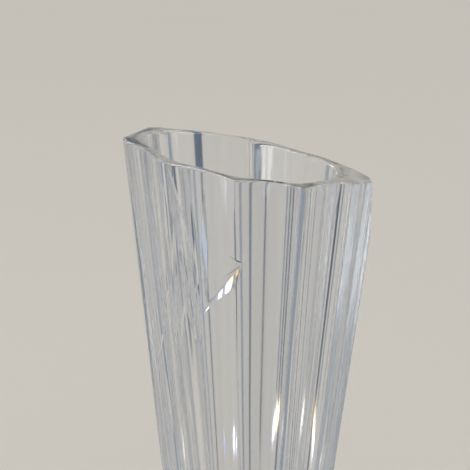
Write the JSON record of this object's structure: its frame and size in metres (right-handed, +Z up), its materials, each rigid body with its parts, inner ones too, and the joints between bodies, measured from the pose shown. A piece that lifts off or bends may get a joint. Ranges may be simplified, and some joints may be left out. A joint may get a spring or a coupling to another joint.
{
  "type": "vase",
  "caption": "Tall flared clear crystal vase with a slanted mouth, hollow-ground vertical flutes and a thick solid foot, for cut flowers.",
  "frame": {"origin": "on the table, under the middle of the vase's whole outline seen from above", "axes": "+Z up; the mouth's high lip is at -X and its low lip at +X; -Y is the front"},
  "size_m": [0.1361, 0.141, 0.3001],
  "materials": {
    "clear_crystal": "polished clear crystal"
  },
  "bodies": {
    "root": {"vase_body": "clear_crystal"}
  },
  "joints": []
}
